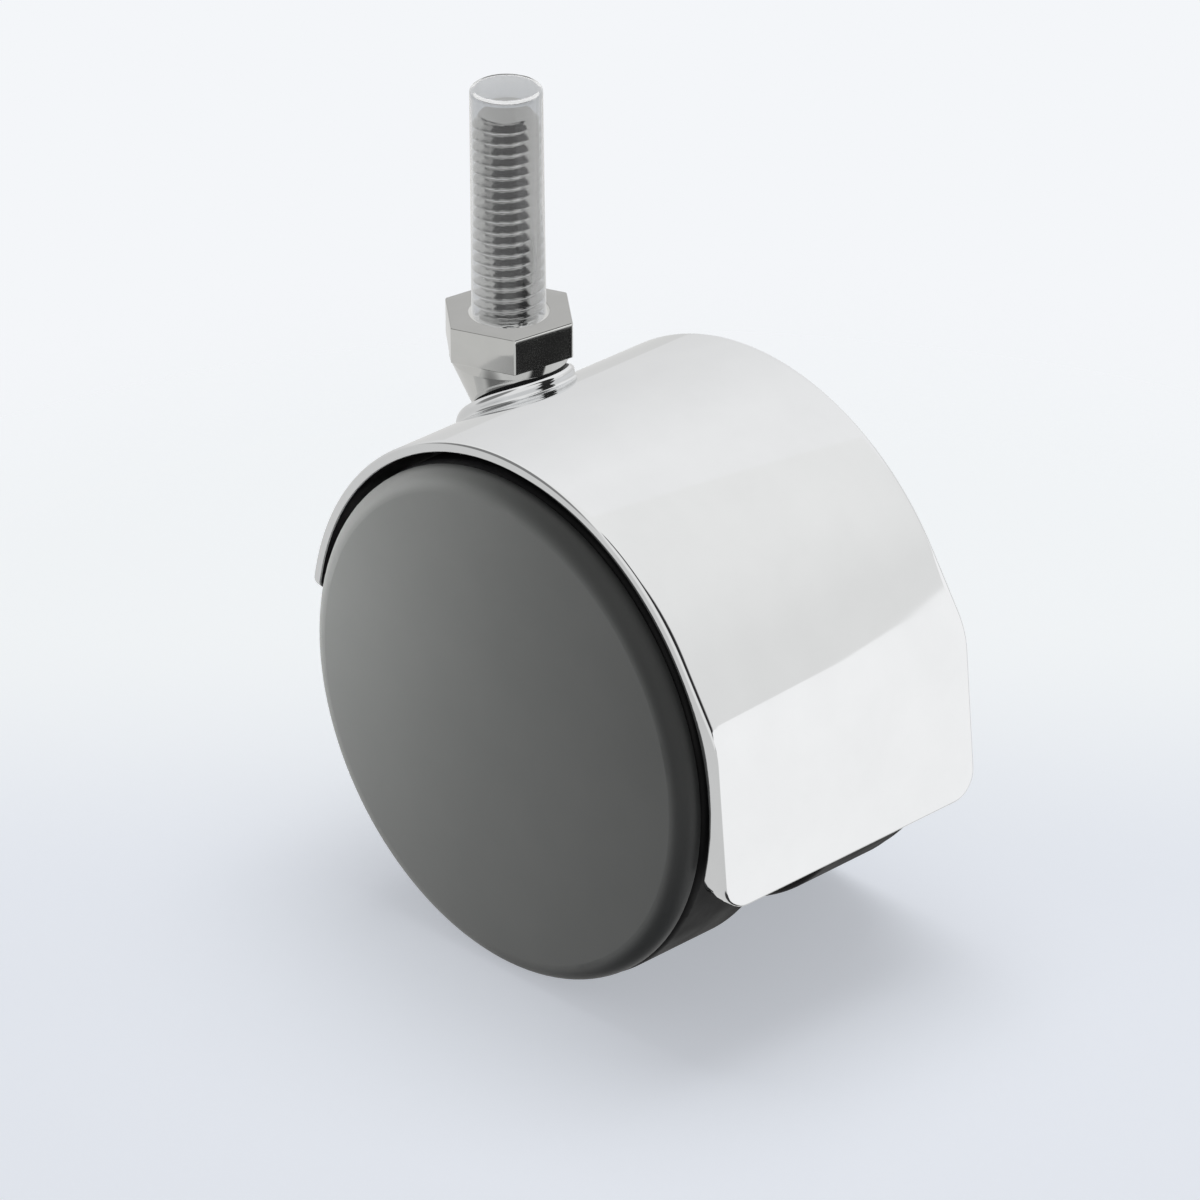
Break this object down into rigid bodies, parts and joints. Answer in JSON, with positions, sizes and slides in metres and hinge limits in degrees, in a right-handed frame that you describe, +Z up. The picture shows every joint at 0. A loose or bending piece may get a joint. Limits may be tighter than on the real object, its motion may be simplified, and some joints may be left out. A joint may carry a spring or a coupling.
{
  "type": "twin wheel castor",
  "caption": "Hooded furniture castor: a chrome hood over a pair of trailing wheels on one axle, swivelling on a stem with a hex collar, a threaded stud and a clear thread protector.",
  "frame": {"origin": "centre of the hex collar's top face, where the thread starts, on the swivel axis", "axes": "+Z up along the threaded stem, +X from the swivel axis towards the trailing wheels, +Y along the axle towards the right wheel"},
  "size_m": [0.07, 0.0454, 0.0991],
  "materials": {
    "hood_chrome": "polished chrome plate on a zinc die-casting",
    "stem_chrome": "bright plated turned steel",
    "steel": "bright steel",
    "spring_steel": "phosphated spring steel",
    "face_plastic": "smooth satin moulding, dark grey",
    "core_nylon": "moulded nylon, charcoal",
    "tyre_rubber": "smooth soft tread, black",
    "bush_nylon": "natural nylon",
    "clear_plastic": "clear soft plastic"
  },
  "bodies": {
    "stem": {"threaded_stem": "stem_chrome", "stem_clip": "spring_steel"},
    "protector": {"thread_protector": "clear_plastic"},
    "hood": {"hood": "hood_chrome", "swivel_bush": "bush_nylon", "thrust_washer": "steel", "axle": "steel", "left_spacer": "steel", "right_spacer": "steel", "left_axle_clip": "spring_steel", "right_axle_clip": "spring_steel"},
    "left_wheel": {"left_wheel_core": "core_nylon", "left_tyre": "tyre_rubber", "left_face_cover": "face_plastic"},
    "right_wheel": {"right_wheel_core": "core_nylon", "right_tyre": "tyre_rubber", "right_face_cover": "face_plastic"}
  },
  "joints": [
    {"name": "swivel", "type": "hinge", "parent": "stem", "child": "hood", "pos_m": [0, 0, 0], "axis": [0, 0, 1], "continuous": true},
    {"name": "left_roll", "type": "hinge", "parent": "hood", "child": "left_wheel", "pos_m": [0.021, 0, -0.03886], "axis": [0, 1, 0], "continuous": true},
    {"name": "right_roll", "type": "hinge", "parent": "hood", "child": "right_wheel", "pos_m": [0.021, 0, -0.03886], "axis": [0, 1, 0], "continuous": true},
    {"name": "protector_pull", "type": "slide", "parent": "stem", "child": "protector", "axis": [0, 0, 1], "range_m": [0, 0.032]}
  ]
}
